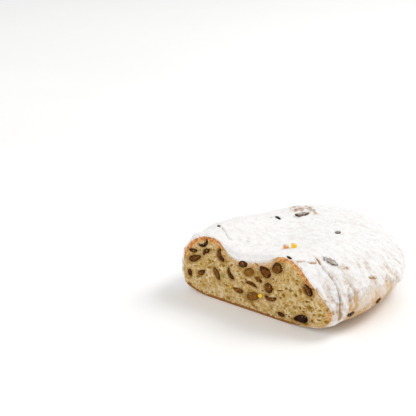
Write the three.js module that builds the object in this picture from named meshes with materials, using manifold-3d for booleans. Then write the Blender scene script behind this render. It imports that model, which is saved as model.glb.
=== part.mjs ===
// The half that is left of a stollen, a German Christmas fruit bread, after it was cut straight
// across. The loaf is one solid of crumb with raisins at the cut, and a coat of icing sugar lies
// on everything but the cut face and the underside.
// Units are millimetres. +X points right as one faces the cut, +Y runs from the cut face to the
// rounded end and +Z is up. The origin is under the middle of the whole loaf, on its flat base.
import * as THREE from "three";
import { mergeVertices } from "three/addons/utils/BufferGeometryUtils.js";
import Module from "manifold-3d";

const wasm = await Module();
wasm.setup();

// Driving dimensions. While it is modelled, the cut face lies at y = 0.
const LENGTH = 156; // cut face to the tip of the rounded end
const CUT_WIDTH = 140; // crumb across the cut face
const SIDE_HEIGHT = 18.5; // of the line where the loaf is widest
const DOME_RISE = 27.5; // plain dome over that line
const SWELL = 1.12; // greatest width against the width at the cut
const WIDEST_AT = 40; // y of the greatest width
const LEVEL_TO = 108; // y up to which the dome keeps its height
const SIDEWAYS_LEAN = 0.1; // the centre line drifts to the right by this share of y
const TIP_LIFT = 2; // the widest line climbs this much on its way to the tip
const BASE_PRESS = 1.2; // depth pressed flat by the baking sheet
const SUGAR_THICKNESS = 2.5;
const GAP = 0.3; // between two solids that touch

// How full each quarter of the cross-section is: 2 is an ellipse, more is boxier.
const FULLNESS = { roofLeft: 3.5, roofRight: 1.5, underLeft: 4, underRight: 2.4 };
const PLAN_FULLNESS = 1.9; // rounded end seen from above
const PROFILE_FULLNESS = 2.1; // rounded end seen from the side

// Rolls and hollows that folding the dough left in the roof. `at` is the distance from the centre
// line at the cut, and `leans` how far it drifts to the right for each millimetre of y.
const FOLDS = [
  { name: "left roll", at: -43, rise: 8.7, reach: 26, leans: 0 },
  { name: "valley", at: -18, rise: -6.8, reach: 17.5, leans: 0.1 },
  { name: "fold ridge", at: 32, rise: 12.9, reach: 18.6, leans: 0.1 },
];
const FOLDS_FADE = { from: 16, to: 119 }; // y over which the folds run out
const LUMP = 0.9; // height of the uneven lumps of hand-shaped dough

// Raisins at the cut face: x from the centre line, height above the base, length and thickness
// of each, and the tilt of its long side in degrees, with its right end up.
const RAISINS = [
  { x: -50.5, z: 45.5, long: 10.5, thick: 3.5, tilt: 38 },
  { x: -61.5, z: 37, long: 8, thick: 3.5, tilt: 8 },
  { x: -59.5, z: 30.5, long: 13.5, thick: 5, tilt: 26 },
  { x: -48, z: 38.5, long: 8.5, thick: 3.5, tilt: 40 },
  { x: -33, z: 40, long: 9, thick: 6, tilt: -62 },
  { x: -64.5, z: 16, long: 6, thick: 4.5, tilt: -80 },
  { x: -52.5, z: 19.5, long: 8, thick: 3.5, tilt: 33 },
  { x: -37.5, z: 22.5, long: 10.5, thick: 5, tilt: -61 },
  { x: -23.5, z: 26.5, long: 9.5, thick: 4.5, tilt: -59 },
  { x: -11.5, z: 38, long: 9, thick: 5, tilt: 20 },
  { x: -5.5, z: 32.5, long: 9.5, thick: 6, tilt: 31 },
  { x: 9.5, z: 37.5, long: 11, thick: 8.5, tilt: -24 },
  { x: 3.5, z: 29, long: 6.5, thick: 3.5, tilt: -21 },
  { x: 20.5, z: 43, long: 10, thick: 7, tilt: 48 },
  { x: -3, z: 23, long: 10.5, thick: 3.5, tilt: -8 },
  { x: -16, z: 14.5, long: 9.5, thick: 4, tilt: -4 },
  { x: -1.5, z: 12.5, long: 12, thick: 6.5, tilt: 24 },
  { x: 13, z: 24.5, long: 8.5, thick: 7.5, tilt: -86 },
  { x: 15.5, z: 16.5, long: 10.5, thick: 4, tilt: 8 },
  { x: 48.5, z: 33, long: 9.5, thick: 6.5, tilt: -42 },
  { x: 25, z: 5.5, long: 6.5, thick: 3.5, tilt: -5 },
  { x: 43, z: 7, long: 13, thick: 6, tilt: 16 },
];
const RAISIN_PROUD = 0.6; // how far the cut raisins swell out of the crumb
const RAISIN_BURIED = 0.8; // how far behind the cut their thickest part lies
const RAISIN_DIMPLE = 0.06; // share of its radius by which a raisin is dented

// Mesh resolution
const AROUND = 60; // points round a cross-section
const STATIONS = 21; // cross-sections from the cut to the tip
const RIM_COLUMNS = { right: -3, left: 34 }; // columns of the cross-section where the sugar ends

const crumbLook = new THREE.MeshStandardMaterial({ color: "#d8b577", roughness: 0.8 });
const sugarLook = new THREE.MeshStandardMaterial({ color: "#f8f6f2", roughness: 0.95 });
const raisinLook = new THREE.MeshStandardMaterial({ color: "#4f2c15", roughness: 0.45 });

const bell = (distance) => Math.exp(-distance * distance);
const quarterArc = (share, fullness) => (1 - share ** fullness) ** (1 / fullness);
const progress = (value, from, to) => THREE.MathUtils.clamp((value - from) / (to - from), 0, 1);

// Width of the cross-section at y, as a share of its width at the cut.
function widthAt(y) {
  if (y < WIDEST_AT) return 1 + (SWELL - 1) * Math.sin((Math.PI / 2) * (y / WIDEST_AT));
  return SWELL * quarterArc(progress(y, WIDEST_AT, LENGTH), PLAN_FULLNESS);
}

// How much of the underside's depth is left at y: the base stays low almost to the tip.
const undersideAt = (y) => quarterArc(progress(y, LEVEL_TO, LENGTH), 6);

// Height of the folds over the plain dome, `across` millimetres from the centre line.
function foldHeight(across, y) {
  const left = 1 - THREE.MathUtils.smoothstep(y, FOLDS_FADE.from, FOLDS_FADE.to);
  const rises = FOLDS.map((f) => f.rise * bell((across - f.at - f.leans * y) / f.reach));
  return left * rises.reduce((sum, rise) => sum + rise, 0);
}

// Uneven lumps on the roof, which die away at the cut and at the tip.
function lumpHeight(angle, y) {
  const waves = Math.sin(3 * angle + y / 17) + Math.sin(5 * angle - y / 11 + 1) * 0.7;
  return LUMP * waves * Math.sin(angle) * Math.sin((Math.PI * y) / LENGTH);
}

// A point of the loaf's skin: angle 0 is the right side, a quarter turn is the top.
function skinPoint(angle, yAsked) {
  const y = THREE.MathUtils.clamp(yAsked, 0, LENGTH);
  const c = Math.cos(angle);
  const s = Math.sin(angle);
  const roof = s >= 0;
  const fullness = roof
    ? c < 0 ? FULLNESS.roofLeft : FULLNESS.roofRight
    : c < 0 ? FULLNESS.underLeft : FULLNESS.underRight;
  const reach = (Math.abs(c) ** fullness + Math.abs(s) ** fullness) ** (-1 / fullness);
  const across = (CUT_WIDTH / 2) * c * reach;
  const side = SIDE_HEIGHT + TIP_LIFT * THREE.MathUtils.smoothstep(y, 0, LENGTH);
  let z;
  if (roof) {
    const folds = Math.min(1, 3 * s) * foldHeight(across, y);
    const domeLeft = quarterArc(progress(y, LEVEL_TO, LENGTH), PROFILE_FULLNESS);
    z = side + (DOME_RISE * s * reach + folds + lumpHeight(angle, y)) * domeLeft;
  } else {
    const height = side * (1 + undersideAt(y) * s * reach);
    z = Math.max(0, height * (1 + BASE_PRESS / side) - BASE_PRESS);
  }
  return new THREE.Vector3(across * widthAt(y) + SIDEWAYS_LEAN * y, y, z);
}

// Outward direction of the skin. At the cut it stays in the plane of the cut.
function skinNormal(angle, y) {
  const step = 0.01;
  const around = skinPoint(angle + step, y).sub(skinPoint(angle - step, y));
  const along = skinPoint(angle, y + 1).sub(skinPoint(angle, y - 1));
  const normal = along.cross(around).normalize();
  normal.y *= THREE.MathUtils.smoothstep(y, 0, LENGTH / 8);
  return normal.normalize();
}

// Cross-sections stand closer together towards the tip, where the loaf curves more.
const stationY = (row) => LENGTH * Math.sin((Math.PI / 2) * (row / STATIONS));
const columnAngle = (column) => (2 * Math.PI * column) / AROUND;

// A geometry from points and from faces of three or four corners.
function polyhedron(points, faces) {
  const triangles = faces.flatMap(([a, b, c, d]) => (d === undefined ? [a, b, c] : [a, b, c, a, c, d]));
  const geometry = new THREE.BufferGeometry().setFromPoints(points);
  geometry.setIndex(triangles);
  return geometry;
}

function solidOf(geometry) {
  const bare = geometry.clone();
  bare.deleteAttribute("normal");
  bare.deleteAttribute("uv");
  const merged = mergeVertices(bare, 1e-4);
  const vertProperties = merged.attributes.position.array;
  const triVerts = new Uint32Array(merged.index.array);
  return new wasm.Manifold(new wasm.Mesh({ numProp: 3, vertProperties, triVerts }));
}

function geometryOf(solid) {
  const { vertProperties, triVerts } = solid.getMesh();
  const geometry = new THREE.BufferGeometry();
  geometry.setAttribute("position", new THREE.BufferAttribute(vertProperties, 3));
  geometry.setIndex(new THREE.BufferAttribute(triVerts, 1));
  return geometry;
}

// The crumb before the raisins' pockets are cut: a skin of rings, closed by the flat cut face.
function loafGeometry() {
  const points = [];
  const faces = [];
  for (let row = 0; row < STATIONS; row++)
    for (let column = 0; column < AROUND; column++)
      points.push(skinPoint(columnAngle(column), stationY(row)));
  const cutCentre = points.push(new THREE.Vector3(0, 0, SIDE_HEIGHT)) - 1;
  const tip = points.push(skinPoint(0, LENGTH)) - 1;
  const at = (row, column) => row * AROUND + (column % AROUND);
  for (let column = 0; column < AROUND; column++) {
    faces.push([cutCentre, at(0, column), at(0, column + 1)]);
    for (let row = 0; row < STATIONS - 1; row++)
      faces.push([at(row, column), at(row + 1, column), at(row + 1, column + 1), at(row, column + 1)]);
    faces.push([at(STATIONS - 1, column), tip, at(STATIONS - 1, column + 1)]);
  }
  return polyhedron(points, faces);
}

// How far the sugar's lower edge strays from its column, as a share of a column's width.
const rimStray = (y) => 0.5 + 0.45 * Math.sin(y / 9) * Math.cos(y / 23);

// The icing sugar: a shell that follows the skin from rim to rim over the roof and round the tip.
function sugarGeometry() {
  const columns = RIM_COLUMNS.left - RIM_COLUMNS.right + 1;
  const layers = [GAP, GAP + SUGAR_THICKNESS];
  const layerSize = columns * STATIONS + 1;
  const tip = columns * STATIONS;
  const points = [];
  const faces = [];

  // At a rim the point slides between two columns of the loaf, so that it stays on the loaf's facet.
  function layerPoint(column, y, height) {
    const lift = (c) =>
      skinPoint(columnAngle(c), y).addScaledVector(skinNormal(columnAngle(c), y), height);
    const inward = column === RIM_COLUMNS.right ? 1 : column === RIM_COLUMNS.left ? -1 : 0;
    return lift(column).lerp(lift(column + inward), inward ? rimStray(y) : 0);
  }
  for (const height of layers) {
    for (let row = 0; row < STATIONS; row++)
      for (let column = 0; column < columns; column++)
        points.push(layerPoint(RIM_COLUMNS.right + column, stationY(row), height));
    points.push(new THREE.Vector3(0, height, 0).add(skinPoint(0, LENGTH)));
  }
  const at = (layer, row, column) =>
    layer * layerSize + (row === STATIONS ? tip : row * columns + column);
  for (let row = 0; row < STATIONS; row++) {
    for (let column = 0; column < columns - 1; column++) {
      const around = [[row, column], [row + 1, column], [row + 1, column + 1], [row, column + 1]];
      const corners = row === STATIONS - 1 ? around.toSpliced(2, 1) : around;
      const [first, ...others] = corners.map(([r, c]) => at(0, r, c));
      faces.push(corners.map(([r, c]) => at(1, r, c)));
      faces.push([first, ...others.reverse()]);
    }
    faces.push([at(0, row, 0), at(0, row + 1, 0), at(1, row + 1, 0), at(1, row, 0)]);
    const last = columns - 1;
    faces.push([at(1, row, last), at(1, row + 1, last), at(0, row + 1, last), at(0, row, last)]);
  }
  for (let column = 0; column < columns - 1; column++)
    faces.push([at(0, 0, column), at(1, 0, column), at(1, 0, column + 1), at(0, 0, column + 1)]);
  return polyhedron(points, faces);
}

// A dented pebble about its own centre, grown by `margin`. The knife took its front off at
// y = -flush, unless flush is left out.
function raisinSolid(raisin, seed, margin, flush) {
  const pebble = new THREE.IcosahedronGeometry(1, 1);
  const corner = new THREE.Vector3();
  const position = pebble.attributes.position;
  const depth = (raisin.long + raisin.thick) / 4;
  for (let i = 0; i < position.count; i++) {
    corner.fromBufferAttribute(position, i);
    const dent = Math.sin(3 * Math.atan2(corner.z, corner.x) + seed) * Math.cos(2 * corner.y + seed);
    corner.multiplyScalar(1 + RAISIN_DIMPLE * dent);
    corner.x *= raisin.long / 2 + margin;
    corner.y *= depth + margin;
    corner.z *= raisin.thick / 2 + margin;
    position.setXYZ(i, ...corner);
  }
  const whole = solidOf(pebble);
  return flush === undefined ? whole : whole.trimByPlane([0, 1, 0], -flush);
}

const stollen = new THREE.Group();
let crumb = solidOf(loafGeometry());

RAISINS.forEach((raisin, index) => {
  const solid = raisinSolid(raisin, index, 0, RAISIN_PROUD + RAISIN_BURIED);
  const mesh = new THREE.Mesh(geometryOf(solid), raisinLook);
  mesh.name = `raisin_${String(index + 1).padStart(2, "0")}`;
  mesh.position.set(raisin.x, RAISIN_BURIED, raisin.z);
  mesh.rotation.y = -THREE.MathUtils.degToRad(raisin.tilt);
  mesh.updateMatrix();
  const pocket = raisinSolid(raisin, index, GAP).transform(mesh.matrix.elements);
  crumb = crumb.subtract(pocket);
  stollen.add(mesh);
});

const loaf = new THREE.Mesh(geometryOf(crumb), crumbLook);
loaf.name = "loaf";
stollen.add(loaf);

const sugarCoat = new THREE.Mesh(sugarGeometry(), sugarLook);
sugarCoat.name = "sugar_coat";
stollen.add(sugarCoat);

const middle = new THREE.Box3().setFromObject(stollen).getCenter(new THREE.Vector3());
stollen.position.set(-middle.x, -middle.y, 0);

export default stollen;
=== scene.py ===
"""The looks of a cut stollen: yellow crumb with raisins at the cut, a brown crust along the foot
and a thick coat of icing sugar over everything else.

+X is right as one faces the cut, +Y runs from the cut to the rounded end and +Z is up. Sizes and
places are millimetres in the frame's own axes, until a mesh is made in metres."""

import math

import bmesh
import bpy
import numpy as np
from mathutils import Matrix, Vector, noise
from mathutils.bvhtree import BVHTree
from mathutils.geometry import delaunay_2d_cdt


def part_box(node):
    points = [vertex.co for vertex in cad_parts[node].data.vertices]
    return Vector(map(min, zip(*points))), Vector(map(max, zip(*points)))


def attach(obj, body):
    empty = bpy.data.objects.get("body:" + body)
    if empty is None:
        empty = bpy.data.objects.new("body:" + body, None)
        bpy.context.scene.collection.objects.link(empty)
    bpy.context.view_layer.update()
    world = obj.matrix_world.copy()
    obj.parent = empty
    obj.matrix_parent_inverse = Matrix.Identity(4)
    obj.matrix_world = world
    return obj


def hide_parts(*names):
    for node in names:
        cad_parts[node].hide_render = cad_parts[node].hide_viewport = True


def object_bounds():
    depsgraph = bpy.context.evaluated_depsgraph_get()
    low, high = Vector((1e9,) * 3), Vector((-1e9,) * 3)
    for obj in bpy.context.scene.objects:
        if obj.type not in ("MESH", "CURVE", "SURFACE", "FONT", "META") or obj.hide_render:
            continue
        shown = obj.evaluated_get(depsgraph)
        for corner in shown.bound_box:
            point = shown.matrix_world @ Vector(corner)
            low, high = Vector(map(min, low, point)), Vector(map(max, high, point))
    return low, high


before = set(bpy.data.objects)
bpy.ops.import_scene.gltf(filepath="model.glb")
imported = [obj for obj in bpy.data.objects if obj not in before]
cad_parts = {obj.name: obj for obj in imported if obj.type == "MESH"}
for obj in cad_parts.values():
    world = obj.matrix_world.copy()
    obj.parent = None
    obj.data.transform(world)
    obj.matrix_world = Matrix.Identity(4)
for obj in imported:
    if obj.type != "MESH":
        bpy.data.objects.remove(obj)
CAD_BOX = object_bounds()

MM = 0.001
AHEAD = np.array([0, 1, 0])  # from the cut into the loaf


# ----------------------------------------------------------------------------- sizes from the frame


def box_mm(node):
    """The lowest and the highest corner of a CAD node, in millimetres."""
    return [np.array(corner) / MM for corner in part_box(node)]


LOAF_LOW, LOAF_HIGH = box_mm("loaf")
CUT = LOAF_LOW[1]  # y of the cut face
LENGTH = LOAF_HIGH[1] - CUT
COAT = box_mm("sugar_coat")[1][2] - LOAF_HIGH[2]  # the coat's outside over the loaf's skin
HEART = 0.35 * LOAF_HIGH[2]  # height of the axis that the skin is measured from
TURN = CUT + 0.56 * LENGTH  # y where the rounded end begins
RAISIN_NODES = sorted(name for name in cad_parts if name.startswith("raisin"))

# ------------------------------------------------------------------------------ sizes of the finish

LAYER_STEP = 3  # the sugar's hidden inside has one point for so many of its outside
COAT_COLUMNS = 160 * LAYER_STEP  # points round the loaf in the sugar's mesh
COAT_ROWS = 77 * LAYER_STEP + 1  # and from the cut to the tip
SKIN_STEP = 2  # the dough's side has one point for so many of the sugar's
SKIN_BLUR = 3.5  # smooths away the frame's facets
CRUMB_GRAIN = 0.37  # mesh size of the cut face
CRUST_SWELL = 1.2  # how far the bare crust bulges past the frame's plain loaf
THIN_SUGAR = 0.9  # the sugar over the browned folds at the cut
BANK = 2.0  # how far the thick sugar in the valley swells over the cut
LIP_ROWS = 7  # rows in the sugar's rounded edge at the cut
POCKET = 2.4  # depth of the pocket that a cut raisin sits in
TUCKED = 0.5  # how deep the sugar's outside dips under the crust past its rim
BARE = 0.4  # past this depth under the crust the sugar is left out
BURIED = 1.1  # how deep its inside lies under the crust
STRAIGHTEST, ROUNDEST = 0.02, 1.4  # the least and the greatest bend of a raisin, in radians


# ------------------------------------------------------------------------------------------ numbers


def smooth(value, low, high):
    """0 below low, 1 above high and a soft step between them."""
    share = np.clip((value - low) / (high - low), 0, 1)
    return share * share * (3 - 2 * share)


def bell(distance, reach):
    """1 at no distance, fading to a third at the reach and to nothing at twice that."""
    return np.exp(-((distance / reach) ** 2))


def unit(vectors):
    """The vectors, each made 1 long."""
    return vectors / np.maximum(np.linalg.norm(vectors, axis=-1, keepdims=True), 1e-9)


def clouds(points, size, octaves=3, shift=0.0):
    """Soft noise of about -1 to 1 at each point, with features of that size. The shift picks
    another stretch of the same noise, so that two patterns don't fall together."""
    flat = (points.reshape(-1, 3) / size + shift).tolist()
    values = [noise.fractal(p, 1.0, 2.0, octaves) for p in flat]
    return np.array(values).reshape(points.shape[:-1])


def cells(points, size, shift=0.0):
    """Distance of the two nearest cell hearts, in cells, and a chance of 0 to 1 for the first."""
    flat = (points.reshape(-1, 3) / size + shift).tolist()
    found = [noise.voronoi(p) for p in flat]
    near = np.array([distances[:2] for distances, _ in found])
    hearts = np.array([tuple(places[0]) for _, places in found])
    chance = np.modf(np.abs(np.sin(hearts @ (12.99, 78.23, 37.72)) * 4375.85))[0]
    shape = points.shape[:-1]
    return near[:, 0].reshape(shape), near[:, 1].reshape(shape), chance.reshape(shape)


def blurred(field, columns_wide, rows_wide):
    """A field over the skin's grid, smoothed round the loaf and along it."""
    for axis, wide in ((1, columns_wide), (0, rows_wide)):
        reach = int(3 * wide) + 1
        weights = np.exp(-0.5 * (np.arange(-reach, reach + 1) / wide) ** 2)
        weights /= weights.sum()
        if axis == 1:
            padded = np.concatenate([field[:, -reach:], field, field[:, :reach]], axis=1)
        else:
            before = 2 * field[:1] - field[reach:0:-1]
            padded = np.concatenate([before, field, field[-2 : -reach - 2 : -1]], axis=0)
        field = np.apply_along_axis(np.convolve, axis, padded, weights, "valid")
    return field


# ------------------------------------------------------------------------------------------- meshes


def rounded_faces(faces):
    """Faces as tuples, without the doubled corners that a pole gives them."""
    kept = []
    for face in faces:
        corners = tuple(dict.fromkeys(face))
        if len(corners) > 2:
            kept.append(corners)
    return kept


def new_mesh(name, points, faces, looks=None):
    """A smooth mesh from points in millimetres, with one number per point for each look."""
    mesh = bpy.data.meshes.new(name)
    mesh.from_pydata((np.asarray(points) * MM).tolist(), [], faces)
    for label, values in (looks or {}).items():
        layer = mesh.attributes.new(label, "FLOAT", "POINT")
        layer.data.foreach_set("value", np.asarray(values, dtype=np.float32))
    mesh.validate()
    mesh.shade_smooth()
    return mesh


def fixed_normals(mesh):
    """The mesh with every closed part's faces pointing out."""
    work = bmesh.new()
    work.from_mesh(mesh)
    bmesh.ops.recalc_face_normals(work, faces=work.faces[:])
    work.to_mesh(mesh)
    work.free()
    return mesh


def drop_loose_points(mesh):
    """Takes away the points of a mesh that no face uses."""
    work = bmesh.new()
    work.from_mesh(mesh)
    loose = [v for v in work.verts if not v.link_faces]
    bmesh.ops.delete(work, geom=loose, context="VERTS")
    work.to_mesh(mesh)
    work.free()


def shown(name, data):
    """A new object in the scene, at its origin."""
    thing = bpy.data.objects.new(name, data)
    bpy.context.scene.collection.objects.link(thing)
    return thing


def new_piece(name, mesh, material, stands_for=None):
    """Shows a mesh as a piece that rides on the one body."""
    piece = shown(name, mesh)
    mesh.materials.clear()
    mesh.materials.append(material)
    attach(piece, "root")
    if stands_for:
        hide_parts(stands_for)
    return piece


def grid_numbers(rows, columns):
    """Point numbers of a grid whose last row is one point, the tip."""
    index = np.arange(rows * columns).reshape(rows, columns)
    index[-1] = index[-1, 0]
    return index


def strip_faces(index):
    """Quads between the rows of a grid of point numbers whose columns close on themselves."""
    after = np.roll(index, -1, axis=1)
    return np.stack([index[:-1], index[1:], after[1:], after[:-1]], axis=-1)


def skin_faces(points):
    """The faces of a grid of points over the skin, closed at the tip."""
    return rounded_faces(strip_faces(grid_numbers(*points.shape[:2])).reshape(-1, 4).tolist())


def thinned(field):
    """Every third point, both ways, of a field over the skin's grid."""
    return field[::LAYER_STEP, ::LAYER_STEP]


def tree_from(points, faces):
    """A tree that finds the nearest place on a surface, in millimetres."""
    return BVHTree.FromPolygons([Vector(p) for p in points.reshape(-1, 3)], faces)


def joined(parts):
    """Points, faces and looks of several meshes as one. Each part is points, faces and looks."""
    points, faces, looks = [], [], {}
    count = 0
    for part_points, part_faces, part_looks in parts:
        points.append(part_points)
        faces += [tuple(corner + count for corner in face) for face in part_faces]
        for label, values in part_looks.items():
            looks.setdefault(label, []).append(np.broadcast_to(values, len(part_points)))
        count += len(part_points)
    looks = {label: np.concatenate(rows) for label, rows in looks.items()}
    return np.concatenate(points), faces, looks


def taken_from(work):
    """Points and faces of a bmesh, which is freed."""
    points = np.array([v.co for v in work.verts])
    faces = [tuple(v.index for v in f.verts) for f in work.faces]
    work.free()
    return points, faces


def ball(level):
    """Points and faces of a ball of radius 1."""
    work = bmesh.new()
    bmesh.ops.create_icosphere(work, subdivisions=level, radius=1)
    return taken_from(work)


# ---------------------------------------------------------------------------------- the loaf's skin


def skin_rays(angles, rows):
    """Rays out of the loaf's axis: straight across it up to TURN, then fanning out to the tip."""
    straight = TURN - CUT
    fan = 0.5 * math.pi * (LOAF_HIGH[1] - TURN + LOAF_HIGH[0]) / 2  # length of the curve
    along = np.linspace(0, straight + fan, rows)
    pitch = np.clip((along - straight) / fan, 0, 1) * math.pi / 2
    y = np.clip(CUT + along, CUT + 0.02, TURN)  # the first row just misses the flat cut
    across = np.cos(pitch)[:, None] * np.cos(angles)
    up = np.cos(pitch)[:, None] * np.sin(angles)
    ahead = np.repeat(np.sin(pitch)[:, None], len(angles), axis=1)
    directions = np.stack([across, ahead, up], axis=-1)
    origins = np.zeros_like(directions)
    origins[..., 1] = y[:, None]
    origins[..., 2] = HEART
    return origins, directions


def skin_radii(tree, origins, directions):
    """How far the skin lies out along each ray. The rays are followed inwards, past any pocket."""
    outside = 2 * LENGTH
    radii = []
    starts = origins + directions * outside
    for start, direction in zip(starts.reshape(-1, 3), directions.reshape(-1, 3)):
        distance = tree.ray_cast(Vector(start), -Vector(direction))[3]
        radii.append(outside - distance)
    return np.array(radii).reshape(origins.shape[:2])


def even_angles(tree, columns):
    """Angles whose rays meet the outline of the cut at even steps."""
    angles = np.linspace(0, 2 * math.pi, 4 * 360 + 1)
    origins, directions = skin_rays(angles, 2)
    outline = (origins + directions * skin_radii(tree, origins, directions)[..., None])[0]
    steps = np.linalg.norm(np.diff(outline, axis=0), axis=1)
    walked = np.concatenate([[0], np.cumsum(steps)])
    return np.interp(np.linspace(0, walked[-1], columns, endpoint=False), walked, angles)


def skin_grid(columns, rows):
    """Points on the loaf's smooth skin and the directions out of it. The last row is the tip."""
    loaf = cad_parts["loaf"].data
    corners = np.array([v.co for v in loaf.vertices]) / MM
    tree = tree_from(corners, [p.vertices for p in loaf.polygons])
    angles = even_angles(tree, columns)
    origins, directions = skin_rays(angles, rows)
    radii = skin_radii(tree, origins, directions)
    girth, bow = 3 * (LOAF_HIGH[0] + LOAF_HIGH[2]), 1.2 * LENGTH  # about its girth and length
    radii = blurred(radii, SKIN_BLUR / (girth / columns), SKIN_BLUR / (bow / rows))
    radii[-1] = radii[-1].mean()
    points = origins + directions * radii[..., None]
    points[0, :, 1] = CUT
    points[..., 2] = np.maximum(points[..., 2], 0)

    around = np.roll(points, -1, axis=1) - np.roll(points, 1, axis=1)
    along = np.gradient(points, axis=0)
    outward = unit(np.cross(along, around))
    outward[-1] = (0, 1, 0)
    outward[..., 1] *= smooth(points[..., 1], CUT, CUT + LENGTH / 8)
    return points, unit(outward)


SKIN, OUTWARD = skin_grid(COAT_COLUMNS, COAT_ROWS)
PLAIN_COAT = SKIN + OUTWARD * COAT  # the frame's sugar coat, before its lumps and creases


# --------------------------------------------------------------------------------- where things lie


def valley(x, z):
    """1 where the sugar lies thick, in the valley between the left fold and the ridge."""
    return smooth(x, -38, -27) * (1 - smooth(x, 6, 19)) * smooth(z, 22, 28)


def right_flank(points):
    """1 on the loaf's right side, which the sugar covers less, and 0 on the roof and the left."""
    return smooth(points[..., 0], 30, 60) * (1 - smooth(points[..., 2], 36, 52))


def browned(x, z):
    """How brown the crust is round the cut: most on top of the left fold, on the ridge and under
    the loaf, and a little low on the right."""
    left = (1 - smooth(x, -40, -30)) * (0.2 + 0.8 * smooth(z, 24, 38))
    ridge = 0.9 * smooth(x, 12, 22) * (1 - 0.8 * smooth(x, 40, 52))
    roof = np.maximum(np.maximum(left, ridge), 0.75 * bell(x - 67, 4))
    base = 1 - 0.8 * smooth(x, 26, 44)
    return roof + (base - roof) * (1 - smooth(z, 3, 8))


def sugar_rim(points):
    """Height at which the sugar ends: it stays higher over the bare foot of the right flank."""
    x, y, _ = np.moveaxis(points, -1, 0)
    bare_foot = smooth(x, 15, 50) * smooth(y, -74, -60) * (1 - smooth(y, -20, 40))
    return 6 + 15.5 * bare_foot + 2.8 * clouds(points, 9, 3, 2.0)


def dough_swell(points):
    """How far the real dough bulges past the frame's plain loaf. At the cut it comes almost to the
    outside of the sugar, so that the browned crust shows under a thin line of white."""
    x, y, z = np.moveaxis(points, -1, 0)
    rough = 0.3 * clouds(points, 7) + 0.12 * clouds(points, 1.9, 2, 5.0)
    at_cut = (COAT - THIN_SUGAR) * (1 - valley(x, z)) + 0.25 * rough
    behind = smooth(y - CUT, 2, 11)
    return smooth(z, 1, 8) * (at_cut + (CRUST_SWELL + rough - at_cut) * behind)


SWELL = dough_swell(SKIN)
SWELL[-1] = SWELL[-1].mean()
RIM = sugar_rim(SKIN)
UNEVEN = 3.5 * clouds(SKIN, 5, 3, 8.0) + 2 * clouds(SKIN, 2.2, 2, 12.0)  # of that edge
DUSTING = 0.34  # the share of powder on the crust below the rim; above it lies all of it
POWDER = DUSTING + (1 - DUSTING) * smooth(SKIN[..., 2] - RIM + UNEVEN, -12, 7)


# ------------------------------------------------------------------------------- raisins at the cut

# How each raisin in the cut differs, in the order of the frame's nodes: how far it is bent towards
# its upper side at each end, in radians; how much one end is thicker; how dark it is, from amber to
# black; and how deep its cut flesh has shrunk into the skin.
RAISIN_TRAITS = [
    (1.1, 0.1, 0.95, 1.1),
    (0.3, 0.0, 0.80, 0.5),
    (0.2, -0.3, 0.60, 0.5),
    (-0.7, 0.2, 0.80, 0.9),
    (1.3, 0.2, 0.66, 0.5),
    (0.2, 0.0, 0.78, 0.5),
    (0.3, -0.3, 0.50, 0.3),
    (-0.3, -0.1, 0.25, 0.1),
    (0.8, 0.3, 0.75, 0.6),
    (0.0, 0.0, 0.60, 0.3),
    (-0.2, 0.1, 0.08, 0.0),
    (0.2, 0.2, 0.50, 0.2),
    (-0.3, 0.1, 0.50, 0.4),
    (0.0, 0.2, 0.38, 0.1),
    (-0.5, 0.1, 0.72, 1.0),
    (0.2, 0.45, 0.30, 0.2),
    (-0.3, 0.0, 0.12, 0.1),
    (0.0, 0.0, 0.36, 0.0),
    (0.7, -0.2, 0.45, 0.5),
    (0.4, 0.1, 0.72, 0.4),
    (0.0, 0.2, 0.78, 0.5),
    (-0.1, 0.4, 0.97, 0.5),
]


def raisin_at_cut(node, traits):
    """Place, size and bend of a raisin in the cut, measured on its CAD node."""
    corners = np.array([v.co for v in node.data.vertices]) / MM
    flat = corners[:, [0, 2]]
    middle = (flat.max(axis=0) + flat.min(axis=0)) / 2
    axis = np.linalg.eigh(np.cov((flat - middle).T))[1][:, 1]
    axis = axis * (1 if axis[0] > 0 else -1)
    across = np.array([-axis[1], axis[0]])
    long_half = np.abs((flat - middle) @ axis).max()
    thick_half = np.abs((flat - middle) @ across).max()
    bend, taper, dark, shrunk = traits
    bend = math.copysign(max(abs(bend), STRAIGHTEST), bend)
    radius = long_half / math.sin(min(abs(bend), ROUNDEST)) * math.copysign(1, bend)
    rise = radius * (1 - math.cos(bend))
    thick = max(0.62 * thick_half, thick_half - abs(rise) / 4.5)  # the bend takes up the rest
    return {
        "middle": middle, "axis": axis, "across": across, "bend": bend, "radius": radius,
        "rise": rise, "thick": thick, "deep": corners[:, 1].max() - CUT, "taper": taper,
        "dark": dark, "shrunk": shrunk,
    }


CUT_RAISINS = [
    raisin_at_cut(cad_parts[name], traits)
    for name, traits in zip(RAISIN_NODES, RAISIN_TRAITS)
]


def place_in_raisin(raisin, along, over):
    """A place on the cut from shares of a bent raisin's length and thickness."""
    reach = raisin["radius"] - over * raisin["thick"]
    angle = along * raisin["bend"]
    side = reach * np.sin(angle)
    rise = raisin["radius"] - reach * np.cos(angle) - raisin["rise"] / 2
    return raisin["middle"] + side[..., None] * raisin["axis"] + rise[..., None] * raisin["across"]


def in_raisin(flat, raisin):
    """How far out of a bent raisin each place on the cut lies: below 1 is inside it."""
    offset = flat - raisin["middle"]
    sign = math.copysign(1, raisin["radius"])
    along = sign * (offset @ raisin["axis"])
    down = sign * (raisin["radius"] - offset @ raisin["across"] - raisin["rise"] / 2)
    share = np.arctan2(along, down) / raisin["bend"]
    over = (raisin["radius"] - sign * np.hypot(along, down)) / raisin["thick"]
    over = over / (1 + raisin["taper"] * np.clip(share, -1, 1))
    return np.hypot(share, over)


# ------------------------------------------------------------------------------------- the cut face

OUTLINE = (SKIN[0] + OUTWARD[0] * SWELL[0][:, None])[::SKIN_STEP][:, [0, 2]]


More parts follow.
